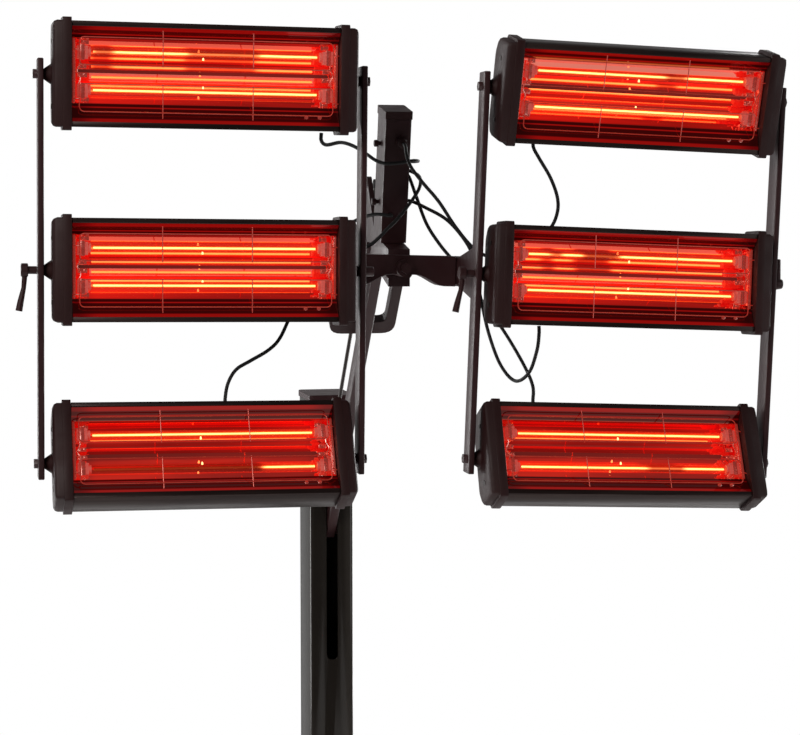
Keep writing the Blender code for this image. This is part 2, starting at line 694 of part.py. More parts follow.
def cap_mesh(sign):
    """An end cap: a flange beside the housing's end, a rounded outer side, and a tapered pivot boss."""
    shell = loft(
        [
            cap_section(0, CAP_PROUD, 0),
            cap_section(CAP_FLANGE, CAP_PROUD, 0),
            cap_section(CAP_FLANGE, 0, 0),
            cap_section(0.0175, 0, 0),
            cap_section(0.0210, 0, 0.0014),
            cap_section(CAP_WIDTH, 0, 0.0050),
        ]
    )
    start, end = 0.020, BAR_INNER_FACE - BODY_HALF - 2 * GAP
    boss = cylinder(0.0150, end - start, ((start + end) / 2, 0, 0), "X", end_radius=0.0065)
    mesh = union(shell, boss)
    if sign < 0:
        mesh.transform(Matrix.Diagonal((-1, 1, 1, 1)))
        mesh.flip_normals()
    return mesh


def lamps_mesh():
    """Two quartz tubes held by ceramic blocks on a strip at each end."""
    strip_in, strip_out = 0.147, BODY_HALF - GAP
    pieces = [
        cylinder(LAMP_RADIUS, 2 * strip_in + 0.004, (0, LAMP_Y, INSIDE_Z + sign * LAMP_Z), "X", segments=14)
        for sign in (-1, 1)
    ]
    for end in (-1, 1):
        middle = end * (strip_in + strip_out) / 2
        strip = (strip_out - strip_in, 0.003, 0.070)
        pieces.append(block(strip, (middle, LAMP_Y - 0.0095, INSIDE_Z)))
        x, y = end * (strip_in + 0.006), LAMP_Y - 0.0010
        pieces += [
            block((0.013, 0.0165, 0.014), (x, y, INSIDE_Z + sign * LAMP_Z))
            for sign in (-1, 1)
        ]
    return union(pieces[0], *pieces[2:], pieces[1])


def cassettes(banks):
    housing, lamps = housing_mesh(), lamps_mesh()
    caps = {"left": cap_mesh(-1), "right": cap_mesh(1)}
    for (side, row), up in FACING_UP.items():
        tilt, middle = banks[side]
        pivot = middle + Vector((0, 0, ROWS[row] * ROW_PITCH))
        turn = empty(f"{side}_{row}_tilt", pivot, tilt, -up)
        name = f"cassette_{row}_{side}"
        node(f"{name}_housing", housing, ALUMINIUM, turn)
        node(f"{name}_lamps", lamps, LAMP_GLOW, turn)
        for end, sign in (("left", -1), ("right", 1)):
            node(f"{name}_cap_{end}", caps[end], PLASTIC_BLACK, turn, (sign * (BODY_HALF + GAP), 0, 0))


def leads():
    """The six leads, as they hang between the junction box and the cassettes."""
    for name, route in LEAD_ROUTES.items():
        points = smooth_route([Vector(at) for at in route], LEAD_SPACING)
        curve = tube_curve(f"lead_{name}", points, LEAD_RADIUS, RUBBER)
        PARTS.objects.link(bpy.data.objects.new(f"lead_{name}", curve))


clear_scene()
PARTS = new_collection("infrared heater")
CUTTERS = new_collection("cutters")
stand()
ARM = lift_arm()
HEAD = head(ARM)
CROSS = empty("cross_arm_roll", CROSS_PIVOT - HEAD_PIVOT, HEAD, 0, CROSS_ROLL)
node("cross_arm", cross_arm_mesh(), STEEL_BLACK, CROSS)
cassettes({side: bank(side, CROSS) for side in ("left", "right")})
leads()
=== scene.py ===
"""The looks of the infrared heater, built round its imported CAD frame.

Units are metres in the CAD's own frame. A cassette's pieces are made in its local frame, with X along
its length, -Y to its front and Z up, and then placed by its tilt joint.
"""

import json
from math import cos, pi, radians, sin

import bmesh
import bpy
from mathutils import Matrix, Vector

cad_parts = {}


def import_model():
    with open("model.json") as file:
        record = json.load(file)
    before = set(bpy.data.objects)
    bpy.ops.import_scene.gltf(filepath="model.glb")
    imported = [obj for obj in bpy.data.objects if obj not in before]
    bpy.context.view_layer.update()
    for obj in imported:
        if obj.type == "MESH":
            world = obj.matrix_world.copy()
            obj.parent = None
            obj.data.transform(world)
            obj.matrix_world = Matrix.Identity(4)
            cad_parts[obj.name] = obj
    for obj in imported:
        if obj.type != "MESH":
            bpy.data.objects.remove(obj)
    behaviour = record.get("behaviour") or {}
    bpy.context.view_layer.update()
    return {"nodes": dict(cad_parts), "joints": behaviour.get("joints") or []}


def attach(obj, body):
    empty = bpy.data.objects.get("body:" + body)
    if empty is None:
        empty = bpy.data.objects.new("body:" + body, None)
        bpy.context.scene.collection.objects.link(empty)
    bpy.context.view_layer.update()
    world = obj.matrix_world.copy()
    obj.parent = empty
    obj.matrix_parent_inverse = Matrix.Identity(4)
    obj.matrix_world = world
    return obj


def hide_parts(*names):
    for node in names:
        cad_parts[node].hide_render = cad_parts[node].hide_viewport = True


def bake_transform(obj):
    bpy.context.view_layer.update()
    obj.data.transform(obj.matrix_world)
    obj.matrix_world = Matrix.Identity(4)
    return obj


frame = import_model()

SIDES = ("left", "right")
ROWS = ("top", "middle", "bottom")
CORNERS = ("front_left", "front_right", "rear_left", "rear_right")

# Camera: just above the head's height, turned to the right and a little down
CAMERA_AT = (-0.5864, -3.0534, 1.6024)
CAMERA_YAW = radians(12.244)
CAMERA_TILT = radians(4.44)
CAMERA_LENS = 92.87

# How bright the world is in reflections, in front of the object and behind it
WORLD_IN_FRONT = 0.045
WORLD_BEHIND = 0.32

# How each bank and cassette is set, as in the CAD
BANK_ROLL = {"left": radians(0.6), "right": radians(2.3)}
FACING_UP = {
    ("left", "top"): radians(-2),
    ("left", "middle"): radians(2),
    ("left", "bottom"): radians(30),
    ("right", "top"): radians(-13),
    ("right", "middle"): radians(2),
    ("right", "bottom"): radians(28.5),
}

# Cassette, in its local frame
BODY_HALF = 0.167
FRONT_Y = -0.043
LIP_Z = 0.059
INSIDE_Z = 0.0045
WING = Vector((-0.029, 0.0405))
TROUGH = [
    Vector((-0.0010, 0.0330)),
    Vector((0.0008, 0.0255)),
    Vector((0.0008, 0.0215)),
    Vector((-0.0002, 0.0142)),
    Vector((-0.0052, 0.0120)),
]
RIDGE = Vector((-0.0100, 0.0020))
REFLECTOR_GAP = 0.00015
REFLECTOR_END_GAP = 0.0006
REFLECTOR_SHEET = 0.0004
CAP_GAP = 0.0003
CAP_DEPTH = 0.0230
LAMP_Y = -0.022
LAMP_RISE = 0.0235
LAMP_Z = {way: INSIDE_Z + way * LAMP_RISE for way in (1, -1)}
LAMP_RADIUS = 0.0050
LAMP_HALF = 0.1475
LIT_HALF = 0.1400
LAMP_STEPS = 56
FILAMENT_RADIUS = 0.0011
GLOW_RADIUS = 0.0021
GUARD_Y = -0.0400
GUARD_RADIUS = 0.0007
GUARD_HALF = 0.158
GUARD_CORNER = 0.006
GUARD_OUTER_Z = 0.0455
GUARD_INNER_Z = 0.0115
GUARD_BARS_X = (-0.0555, 0.0570)
GUARD_HOOK_Z = 0.030

# Lamp ends: the ceramic block's place, and how far its middle is below the lamp's
BLOCK_X = 0.1535
BLOCK_Y = LAMP_Y - 0.0006
BLOCK_DROP = 0.001

# Outer face of the right bank's outer bar, from the middle of its cassettes
OUTER_BAR_FACE = 0.2078

# Stretches of each filament that glow less: (start, end, brightness) along the lit length from 0 to 1
DIM_SPANS = {
    ("left", "top", 1): [(0.00, 0.09, 0.35), (0.42, 0.74, 0.40)],
    ("right", "top", 1): [(0.62, 0.72, 0.35)],
    ("right", "middle", 1): [(0.10, 0.16, 0.35), (0.26, 0.44, 0.22)],
    ("left", "bottom", -1): [(-0.10, 0.76, 0.10)],
    ("right", "bottom", -1): [(0.62, 0.80, 0.35)],
}

# The share of the lit length over which a filament fades at each end of such a stretch
DIM_EDGE = 0.03

LEAD_RADIUS = 0.0024
LEAD_SPACING = 0.004

# Where along its length a lead passes from the head to the cross arm, and from that to the bank
LEAD_SPLITS = (0.40, 0.72)

# Each lead's route from the junction box to its cassette, the same as in the CAD
LEAD_ROUTES = {
    "top_left": [
        (0.0253, -0.269, 1.666), (0.035, -0.271, 1.665), (0.036, -0.302, 1.665), (0.024, -0.320, 1.665),
        (0.005, -0.325, 1.662), (-0.015, -0.328, 1.661), (-0.031, -0.340, 1.665), (-0.048, -0.355, 1.674),
        (-0.070, -0.380, 1.683), (-0.092, -0.412, 1.686), (-0.115, -0.438, 1.682), (-0.1235, -0.447, 1.687),
        (-0.1235, -0.4480, 1.6969),
    ],
    "middle_left": [
        (-0.0005, -0.2892, 1.593), (-0.0015, -0.299, 1.591), (-0.026, -0.325, 1.593), (-0.048, -0.355, 1.590),
        (-0.073, -0.384, 1.582), (-0.100, -0.400, 1.569), (-0.118, -0.407, 1.558), (-0.124, -0.413, 1.555),
        (-0.124, -0.4209, 1.555),
    ],
    "bottom_left": [
        (0.0253, -0.258, 1.654), (0.035, -0.260, 1.652), (0.042, -0.285, 1.643), (0.034, -0.311, 1.625),
        (0.010, -0.318, 1.594), (-0.008, -0.321, 1.576), (-0.034, -0.333, 1.554), (-0.054, -0.336, 1.547),
        (-0.078, -0.336, 1.546), (-0.096, -0.342, 1.540), (-0.126, -0.366, 1.501), (-0.152, -0.384, 1.464),
        (-0.170, -0.395, 1.432), (-0.186, -0.400, 1.417), (-0.210, -0.405, 1.404), (-0.229, -0.407, 1.393),
        (-0.240, -0.410, 1.376), (-0.2445, -0.414, 1.356), (-0.2445, -0.4183, 1.3414),
    ],
    "top_right": [
        (0.0105, -0.3262, 1.687), (0.0105, -0.337, 1.684), (0.009, -0.352, 1.671), (0.015, -0.354, 1.655),
        (0.032, -0.352, 1.634), (0.054, -0.348, 1.610), (0.078, -0.345, 1.576), (0.102, -0.342, 1.549),
        (0.124, -0.342, 1.536), (0.149, -0.352, 1.534), (0.177, -0.365, 1.547), (0.198, -0.380, 1.571),
        (0.206, -0.390, 1.591), (0.204, -0.402, 1.613), (0.190, -0.417, 1.640), (0.170, -0.431, 1.666),
        (0.1605, -0.436, 1.680), (0.1600, -0.4353, 1.6893),
    ],
    "middle_right": [
        (0.0253, -0.261, 1.611), (0.035, -0.261, 1.611), (0.052, -0.276, 1.602), (0.078, -0.290, 1.586),
        (0.100, -0.294, 1.562), (0.115, -0.292, 1.537), (0.122, -0.292, 1.504), (0.124, -0.310, 1.470),
        (0.127, -0.340, 1.428), (0.135, -0.370, 1.390), (0.147, -0.400, 1.371), (0.158, -0.428, 1.384),
        (0.1635, -0.446, 1.414), (0.1645, -0.4525, 1.436), (0.1645, -0.4521, 1.4473),
    ],
    "bottom_right": [
        (0.0253, -0.249, 1.648), (0.034, -0.249, 1.646), (0.043, -0.258, 1.618), (0.055, -0.270, 1.580),
        (0.072, -0.279, 1.551), (0.092, -0.281, 1.527), (0.112, -0.280, 1.502), (0.131, -0.294, 1.470),
        (0.151, -0.330, 1.432), (0.166, -0.375, 1.390), (0.1705, -0.403, 1.364), (0.1675, -0.4145, 1.345),
        (0.1670, -0.4193, 1.3325),
    ],
}


# ---------------------------------------------------------------- camera, light and floor


def camera():
    data = bpy.data.cameras.new("camera")
    data.sensor_width = 36
    data.lens = CAMERA_LENS
    data.clip_end = 100
    made = bpy.data.objects.new("camera", data)
    made.location = CAMERA_AT
    made.rotation_euler = (pi / 2 - CAMERA_TILT, 0, -CAMERA_YAW)
    bpy.context.scene.collection.objects.link(made)
    bpy.context.scene.camera = made


def area_light(name, at, target, size, energy, colour=(1, 1, 1)):
    data = bpy.data.lights.new(name, "AREA")
    data.shape = "RECTANGLE"
    data.size, data.size_y = size
    data.energy = energy
    data.color = colour
    made = bpy.data.objects.new(name, data)
    made.location = at
    made.rotation_euler = (Vector(target) - Vector(at)).to_track_quat("-Z", "Y").to_euler()
    bpy.context.scene.collection.objects.link(made)


def world():
    """White to look at. What the object reflects is bright behind it and dim in front of it."""
    made = bpy.data.worlds.new("studio")
    made.use_nodes = True
    tree = made.node_tree
    tree.nodes.clear()
    place = tree.nodes.new("ShaderNodeTexCoord")
    split = tree.nodes.new("ShaderNodeSeparateXYZ")
    ramp = tree.nodes.new("ShaderNodeMapRange")
    ramp.inputs["From Min"].default_value = -0.2
    ramp.inputs["From Max"].default_value = 0.7
    ramp.inputs["To Min"].default_value = WORLD_IN_FRONT
    ramp.inputs["To Max"].default_value = WORLD_BEHIND
    path = tree.nodes.new("ShaderNodeLightPath")
    lit = tree.nodes.new("ShaderNodeBackground")
    seen = tree.nodes.new("ShaderNodeBackground")
    seen.inputs["Color"].default_value = (1, 1, 1, 1)
    mix = tree.nodes.new("ShaderNodeMixShader")
    out = tree.nodes.new("ShaderNodeOutputWorld")
    tree.links.new(place.outputs["Generated"], split.inputs[0])
    tree.links.new(split.outputs["Y"], ramp.inputs["Value"])
    tree.links.new(ramp.outputs["Result"], lit.inputs["Strength"])
    tree.links.new(path.outputs["Is Camera Ray"], mix.inputs[0])
    tree.links.new(lit.outputs[0], mix.inputs[1])
    tree.links.new(seen.outputs[0], mix.inputs[2])
    tree.links.new(mix.outputs[0], out.inputs[0])
    bpy.context.scene.world = made


def studio():
    camera()
    world()
    bpy.context.scene.view_settings.view_transform = "Standard"
    middle = (0, -0.3, 1.4)
    area_light("key", (-1.9, -2.3, 2.9), middle, (1.4, 1.4), 30, (1.0, 0.92, 0.88))
    area_light("fill", (2.4, -1.6, 1.7), middle, (1.0, 2.0), 9)
    area_light("rim_left", (-1.5, 1.6, 1.5), (0, 0, 1.3), (0.5, 2.4), 24)
    area_light("rim_right", (1.6, 1.4, 1.5), (0, 0, 1.3), (0.5, 2.4), 24)
    bpy.ops.mesh.primitive_cylinder_add(vertices=96, radius=2.6, depth=0.02, location=(0, 0, -0.0101))
    floor = bpy.context.object
    floor.name = "floor"
    floor.data.materials.append(FLOOR)


# ---------------------------------------------------------------- materials


class Recipe:
    """A Principled material under construction, with helpers for its procedural detail."""

    def __init__(self, name, colour, roughness, metallic=0.0):
        self.made = bpy.data.materials.new(name)
        self.made.use_nodes = True
        self.tree = self.made.node_tree
        self.shader = self.tree.nodes["Principled BSDF"]
        self.shader.inputs["Base Color"].default_value = (*colour, 1)
        self.shader.inputs["Roughness"].default_value = roughness
        self.shader.inputs["Metallic"].default_value = metallic
        place = self.tree.nodes.new("ShaderNodeTexCoord")
        self.place = place.outputs["Object"]

    def add(self, kind, **settings):
        made = self.tree.nodes.new(kind)
        for name, value in settings.items():
            setattr(made, name, value)
        return made

    def link(self, source, target):
        self.tree.links.new(source, target)

    def stretched(self, scale):
        """The object's coordinates multiplied by `scale` on each axis."""
        mapping = self.add("ShaderNodeMapping")
        mapping.inputs["Scale"].default_value = scale
        self.link(self.place, mapping.inputs["Vector"])
        return mapping.outputs["Vector"]

    def noise(self, scale, detail=3.0, stretch=(1, 1, 1)):
        made = self.add("ShaderNodeTexNoise")
        made.inputs["Scale"].default_value = scale
        made.inputs["Detail"].default_value = detail
        self.link(self.stretched(stretch), made.inputs["Vector"])
        return made.outputs["Fac"]

    def ranged(self, value, low, high, start=0.3, end=0.7, smooth=False):
        """`value` carried from start..end to low..high."""
        made = self.add("ShaderNodeMapRange")
        if smooth:
            made.interpolation_type = "SMOOTHSTEP"
        made.inputs["From Min"].default_value = start
        made.inputs["From Max"].default_value = end
        made.inputs["To Min"].default_value = low
        made.inputs["To Max"].default_value = high
        self.link(value, made.inputs["Value"])
        return made.outputs["Result"]

    def maths(self, operation, first, second=None):
        made = self.add("ShaderNodeMath", operation=operation)
        for socket, value in zip(made.inputs, (first, second)):
            if value is None:
                continue
            if isinstance(value, (int, float)):
                socket.default_value = value
            else:
                self.link(value, socket)
        return made.outputs[0]

    def mixed(self, factor, first, second):
        """A colour between two, each a tuple or a socket."""
        made = self.add("ShaderNodeMix", data_type="RGBA")
        self.link(factor, made.inputs["Factor"])
        for socket, value in ((made.inputs[6], first), (made.inputs[7], second)):
            if isinstance(value, tuple):
                socket.default_value = (*value, 1)
            else:
                self.link(value, socket)
        return made.outputs[2]

    def bump(self, height, strength, distance):
        made = self.add("ShaderNodeBump")
        made.inputs["Strength"].default_value = strength
        made.inputs["Distance"].default_value = distance
        self.link(height, made.inputs["Height"])
        self.link(made.outputs["Normal"], self.shader.inputs["Normal"])

    def roughness(self, value):
        self.link(value, self.shader.inputs["Roughness"])

    def colour(self, value):
        self.link(value, self.shader.inputs["Base Color"])


def powder_coat(name, colour, worn, roughness=0.42):
    """Fine orange peel with slightly lighter, smoother patches."""
    made = Recipe(name, colour, roughness)
    patches = made.noise(14, 4)
    made.colour(made.mixed(made.ranged(patches, 0, 1), colour, worn))
    made.roughness(made.ranged(made.noise(60, 3), roughness - 0.07, roughness + 0.10))
    made.bump(made.noise(900, 2), 0.16, 0.0004)
    made.shader.inputs["Coat Weight"].default_value = 0.15
    made.shader.inputs["Coat Roughness"].default_value = 0.25
    return made.made


def gloss_paint():
    """The column's deep glossy paint, lighter where its corners catch the light."""
    made = Recipe("column gloss paint", (0.026, 0.022, 0.019), 0.16)
    split = made.add("ShaderNodeSeparateXYZ")
    made.link(made.place, split.inputs[0])
    edge = made.ranged(made.maths("ABSOLUTE", split.outputs["X"]), 0, 1, 0.022, 0.034, True)
    made.colour(made.mixed(edge, (0.028, 0.023, 0.019), (0.060, 0.052, 0.045)))
    made.roughness(made.ranged(made.noise(30, 4), 0.14, 0.24))
    made.bump(made.noise(9, 2), 0.03, 0.0008)
    made.shader.inputs["Specular IOR Level"].default_value = 0.35
    made.shader.inputs["Coat Weight"].default_value = 0.2
    made.shader.inputs["Coat Roughness"].default_value = 0.10
    return made.made


def moulded(name, colour, roughness=0.5):
    """Moulded plastic with a fine spark-eroded grain."""
    made = Recipe(name, colour, roughness)
    cells = made.add("ShaderNodeTexVoronoi")
    cells.inputs["Scale"].default_value = 1300
    made.link(made.stretched((1, 1, 1)), cells.inputs["Vector"])
    lighter = tuple(1.7 * part + 0.004 for part in colour)
    made.colour(made.mixed(made.ranged(made.noise(9, 3), 0, 0.6), colour, lighter))
    made.roughness(made.ranged(made.noise(35, 3), roughness - 0.08, roughness + 0.10))
    made.bump(cells.outputs["Distance"], 0.18, 0.0003)
    return made.made


def anodised():
    """The cassette's dark extrusion, drawn along its length."""
    made = Recipe("dark anodised extrusion", (0.040, 0.024, 0.022), 0.36, 0.55)
    lines = made.noise(120, 3, (0.04, 1, 1))
    made.colour(made.mixed(made.ranged(lines, 0, 1), (0.026, 0.015, 0.014), (0.060, 0.038, 0.034)))
    made.roughness(made.ranged(lines, 0.28, 0.46))
    made.bump(lines, 0.08, 0.0003)
    return made.made


def reflector_metal():
    """Mirror-bright metal, darker on the wings. Its painted red glow is strongest in the troughs, with
    painted shade near the ridge's top, toward the ends and in random patches, and painted highlight lines on
    the wings.

    Heights are measured from the profile's middle, apart from the lip's, which is from the body's.
    """
    # The troughs' metal is tinted red, a painted reflection of the lamps' red light
    trough_colour = (0.90, 0.34, 0.25)
    wing_colour = (0.11, 0.034, 0.030)
    highlight_line_height = 0.0445
    made = Recipe("polished reflector", trough_colour, 0.03, 1.0)
    streaks = made.noise(55, 4, (0.05, 1, 1))
    made.roughness(made.ranged(streaks, 0.015, 0.06))
    made.bump(streaks, 0.02, 0.0003)
    split = made.add("ShaderNodeSeparateXYZ")
    made.link(made.place, split.inputs[0])
    height = made.maths("ABSOLUTE", made.maths("SUBTRACT", split.outputs["Z"], INSIDE_Z))
    along = made.maths("ABSOLUTE", split.outputs["X"])
    # Masks of the painted red glow: the troughs, painted shade near the ridge's top and toward the ends, a
    # painted highlight line along the wing's fold, a painted glow band along the lip, and painted shade in
    # long random patches
    trough = made.ranged(height, 1.0, 0.0, 0.0385, 0.0412, True)
    ridge = made.ranged(height, 0.45, 1.0, 0.0020, 0.0080, True)
    ends = made.ranged(along, 1.0, 0.45, 0.132, 0.165, True)
    from_highlight_line = made.maths("ABSOLUTE", made.maths("SUBTRACT", height, highlight_line_height))
    line = made.ranged(from_highlight_line, 0.85, 0.08, 0.0004, 0.0012)
    lip = made.ranged(made.maths("ABSOLUTE", split.outputs["Z"]), 0.0, 0.75, 0.0530, 0.0545)
    shade = made.ranged(made.noise(30, 5, (0.08, 1, 1)), 0.15, 1.20, 0.34, 0.66)
    made.colour(made.mixed(trough, wing_colour, trough_colour))
    lit = made.maths("MULTIPLY", made.maths("MULTIPLY", trough, ridge), shade)
    painted_wing_highlights = made.maths("MAXIMUM", line, lip)
    # Painted red glow: emission over the whole sheet, strongest in the troughs, standing in for the lamps'
    # light on the reflector, which is no lamp
    red = made.maths("MULTIPLY", made.maths("ADD", made.maths("MAXIMUM", lit, painted_wing_highlights), 0.05), ends)
    painted_glow_colour = made.mixed(made.ranged(red, 0, 1, 0.4, 1.2), (0.70, 0.004, 0.008), (1.0, 0.016, 0.006))
    made.link(painted_glow_colour, made.shader.inputs["Emission Color"])
    made.link(made.maths("MULTIPLY", red, 0.38), made.shader.inputs["Emission Strength"])
    return made.made


def glowing(name, colour, strength, alpha=1.0, attribute=None):
    """A lit surface. The attribute, from 0 to 1, dims it from point to point."""
    made = Recipe(name, (0.02, 0.004, 0.002), 0.30)
    mottled = made.ranged(made.noise(70, 2, (0.3, 1, 1)), 0.88, 1.08)
    made.shader.inputs["Emission Color"].default_value = (*colour, 1)
    made.shader.inputs["Alpha"].default_value = alpha
    level = made.maths("MULTIPLY", mottled, strength)
    if attribute:
        read = made.add("ShaderNodeAttribute", attribute_name=attribute)
        level = made.maths("MULTIPLY", level, read.outputs["Fac"])
        warmth = made.mixed(read.outputs["Fac"], (1.0, 0.04, 0.005), colour)
        made.link(warmth, made.shader.inputs["Emission Color"])
    made.link(level, made.shader.inputs["Emission Strength"])
    return made.made


def bright_metal(name, colour, roughness, glow=0.0):
    """Plated steel with fine scratches, in red light if it sits among the lamps."""
    made = Recipe(name, colour, roughness, 1.0)
    scratches = made.noise(220, 3, (0.2, 1, 1))
    made.roughness(made.ranged(scratches, roughness - 0.06, roughness + 0.12))
    made.bump(scratches, 0.08, 0.0002)
    made.shader.inputs["Emission Color"].default_value = (1.0, 0.060, 0.035, 1)
    made.shader.inputs["Emission Strength"].default_value = glow
    return made.made


def ceramic():
    """Steatite end blocks: fine-grained, matt and red from the lamps."""
    made = Recipe("steatite ceramic", (0.42, 0.24, 0.20), 0.62)
    specks = made.noise(420, 4)
    made.colour(made.mixed(made.ranged(specks, 0, 1), (0.34, 0.18, 0.15), (0.50, 0.30, 0.25)))
    made.bump(specks, 0.25, 0.0003)
    made.shader.inputs["Emission Color"].default_value = (0.9, 0.025, 0.014, 1)
    made.shader.inputs["Emission Strength"].default_value = 0.42
    return made.made


def rubber(name, colour, grain):
    made = Recipe(name, colour, 0.58)
    marks = made.noise(grain, 3)
    lighter = tuple(1.8 * part + 0.004 for part in colour)
    made.colour(made.mixed(made.ranged(made.noise(18, 4), 0, 1), colour, lighter))
    made.roughness(made.ranged(marks, 0.48, 0.70))
    made.bump(marks, 0.20, 0.0004)
    return made.made


def pale_floor():
    made = Recipe("pale floor", (0.86, 0.86, 0.85), 0.75)
    patches = made.noise(3, 4)
    made.colour(made.mixed(made.ranged(patches, 0, 1), (0.84, 0.84, 0.83), (0.89, 0.89, 0.88)))
    made.shader.inputs["Emission Color"].default_value = (1, 1, 1, 1)
    made.shader.inputs["Emission Strength"].default_value = 0.22
    return made.made


FLOOR = pale_floor()
FRAME_PAINT = powder_coat("black powder coat", (0.048, 0.014, 0.017), (0.062, 0.024, 0.025))
STAND_PAINT = powder_coat("stand powder coat", (0.022, 0.019, 0.018), (0.040, 0.034, 0.032), 0.38)
COLUMN_PAINT = gloss_paint()
MOULDED = moulded("black moulding", (0.036, 0.010, 0.011))
CAP_MOULDED = moulded("end cap moulding", (0.027, 0.0050, 0.0050), 0.55)
EXTRUSION = anodised()
REFLECTOR = reflector_metal()
FILAMENT = glowing("filament", (1.0, 0.62, 0.20), 5.5, 1.0, "lit")
GLOW = glowing("filament halo", (1.0, 0.20, 0.015), 2.0, 0.45, "lit")
QUARTZ = glowing("lit quartz tube", (1.0, 0.035, 0.008), 0.90, 0.30, "lit")
PIP = glowing("tip-off pip", (1.0, 0.55, 0.20), 3.0)
CERAMIC = ceramic()
WIRE = bright_metal("guard wire", (0.34, 0.14, 0.12), 0.30, 0.24)
CLIP_STEEL = bright_metal("clip steel", (0.72, 0.45, 0.40), 0.22, 0.22)
ZINC = bright_metal("zinc plate", (0.52, 0.51, 0.49), 0.30)
DARK_STEEL = bright_metal("blackened steel", (0.060, 0.052, 0.050), 0.34)
LEAD_RUBBER = rubber("cable sheath", (0.012, 0.012, 0.013), 700)
TYRE = rubber("castor tread", (0.020, 0.020, 0.020), 240)


# ---------------------------------------------------------------- mesh tools

# Steps between two points of a route while its smooth curve is worked out
ROUTE_STEPS = 24


def smooth_route(route, spacing):
    """Points every `spacing` along a smooth curve through the route's own points."""
    ends = [2 * route[0] - route[1], *route, 2 * route[-1] - route[-2]]
    fine = []
    for a, b, c, d in zip(ends, ends[1:], ends[2:], ends[3:]):
        for step in range(ROUTE_STEPS):
            t = step / ROUTE_STEPS
            bend = (2 * a - 5 * b + 4 * c - d) * t**2 + (3 * b - a - 3 * c + d) * t**3
            fine.append(0.5 * (2 * b + (c - a) * t + bend))
    fine.append(route[-1])
    length = sum((q - p).length for p, q in zip(fine, fine[1:]))
    count = max(2, round(length / spacing))
    points, walked, wanted = [fine[0]], 0.0, length / count
    for p, q in zip(fine, fine[1:]):
        run = (q - p).length
        while run and walked + run >= wanted * len(points) and len(points) < count:
            points.append(p.lerp(q, (wanted * len(points) - walked) / run))
        walked += run
    return points + [fine[-1]]


def sweep(bm, points, radius, sides, cyclic=False):
    """A tube along the points, with flat ends or, if cyclic, joined to itself."""
    count = len(points)
    rings = []
    side = None
    for i, at in enumerate(points):
        before = points[i - 1] if i or cyclic else at
        after = points[(i + 1) % count] if i < count - 1 or cyclic else at
        forward = (after - before).normalized()
        if side is None:
            side = forward.orthogonal().normalized()
        side = (side - forward * side.dot(forward)).normalized()
        other = forward.cross(side)
        turns = [2 * pi * j / sides for j in range(sides)]
        rings.append([bm.verts.new(at + radius * (cos(t) * side + sin(t) * other)) for t in turns])
    pairs = list(zip(rings, rings[1:]))
    if cyclic:
        first, last = rings[0], rings[-1]
        nearest = min(range(sides), key=lambda j: (first[j].co - last[0].co).length)
        pairs.append((last, first[nearest:] + first[:nearest]))
    else:
        bm.faces.new(list(reversed(rings[0])))
        bm.faces.new(rings[-1])
    for ring, following in pairs:
        for j in range(sides):
            k = (j + 1) % sides
            bm.faces.new((ring[j], ring[k], following[k], following[j]))


def add_block(bm, size, centre, bevel):
    """A box with rounded edges."""
    place = Matrix.Translation(centre) @ Matrix.Diagonal((*size, 1))
    made = bmesh.ops.create_cube(bm, size=1, matrix=place)
    edges = list({edge for vert in made["verts"] for edge in vert.link_edges})
    bmesh.ops.bevel(bm, geom=edges, offset=bevel, segments=2, affect="EDGES", profile=0.5)


def add_rod(bm, radius, length, centre, axis, segments, end_radius=None, bevel=0.0):
    """A cylinder or cone along an axis, with its two rims rounded if bevel is given."""
    turn = {"X": Matrix.Rotation(pi / 2, 4, "Y"), "Y": Matrix.Rotation(-pi / 2, 4, "X"), "Z": Matrix()}[axis]
    made = bmesh.ops.create_cone(
        bm,
        cap_ends=True,
        segments=segments,
        radius1=radius,
        radius2=radius if end_radius is None else end_radius,
        depth=length,
        matrix=Matrix.Translation(centre) @ turn,
    )
    if bevel:
        faces = {face for vert in made["verts"] for face in vert.link_faces if len(face.verts) == segments}
        rims = list({edge for face in faces for edge in face.edges})
        bmesh.ops.bevel(bm, geom=rims, offset=bevel, segments=2, affect="EDGES", profile=0.5)


def piece(name, bm, material, body, matrix=Matrix(), sharp=32):
    """A finished piece, placed by `matrix`, that rides on a body. Edges over `sharp` degrees stay sharp."""
    bmesh.ops.recalc_face_normals(bm, faces=bm.faces)
    mesh = bpy.data.meshes.new(name)
    bm.to_mesh(mesh)
    bm.free()
    mesh.materials.append(material)
    mesh.shade_smooth()
    mesh.set_sharp_from_angle(angle=radians(sharp))
    made = bpy.data.objects.new(name, mesh)
    made.matrix_world = matrix
    bpy.context.scene.collection.objects.link(made)
    if body:
        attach(made, body)
    return made


# ---------------------------------------------------------------- CAD pieces that stay

# CAD edges over this angle stay sharp or are rounded
CAD_SHARP = radians(38)


def finish_node(name, material, bevel=0.0):
    """A CAD node with its final material and, if asked, rounded edges."""
    obj = frame["nodes"][name]
    obj.data.materials.clear()
    obj.data.materials.append(material)
    if bevel:
        weld = obj.modifiers.new("weld", "WELD")
        weld.merge_threshold = 0.00001
        made = obj.modifiers.new("rounded edges", "BEVEL")
        made.width = bevel
        made.segments = 2
        made.limit_method = "ANGLE"
        made.angle_limit = CAD_SHARP
    obj.data.shade_smooth()
    obj.data.set_sharp_from_angle(angle=CAD_SHARP)


